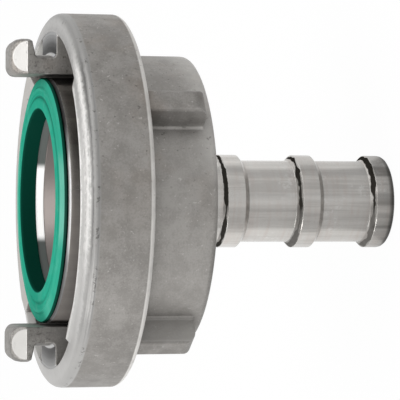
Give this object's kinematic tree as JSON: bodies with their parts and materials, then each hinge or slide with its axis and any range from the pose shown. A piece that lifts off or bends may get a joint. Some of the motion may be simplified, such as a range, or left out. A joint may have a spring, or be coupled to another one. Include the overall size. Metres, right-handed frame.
{
  "type": "quarter turn fire hose coupling",
  "caption": "Steel fire hose coupling half: a cast lug ring with hooked lugs and ramped lips swivels on a ribbed hose tail that carries a rubber face seal.",
  "frame": {"origin": "middle of the hose tail's end face, which the part stands on", "axes": "+Z along the coupling's axis towards the sealing face; +X through the middle of one lug"},
  "size_m": [0.099, 0.099, 0.1038],
  "materials": {
    "turned_steel": "fine turned stainless steel",
    "cast_steel": "matte blasted stainless casting",
    "spring_steel": "plain spring steel",
    "green_rubber": "satin green rubber"
  },
  "bodies": {
    "tail": {"hose_tail": "turned_steel", "face_seal": "green_rubber", "lock_ring": "spring_steel"},
    "ring": {"lug_ring": "cast_steel"}
  },
  "joints": [
    {"name": "swivel", "type": "hinge", "parent": "tail", "child": "ring", "pos_m": [0, 0, 0.0595], "axis": [0, 0, 1], "continuous": true}
  ]
}
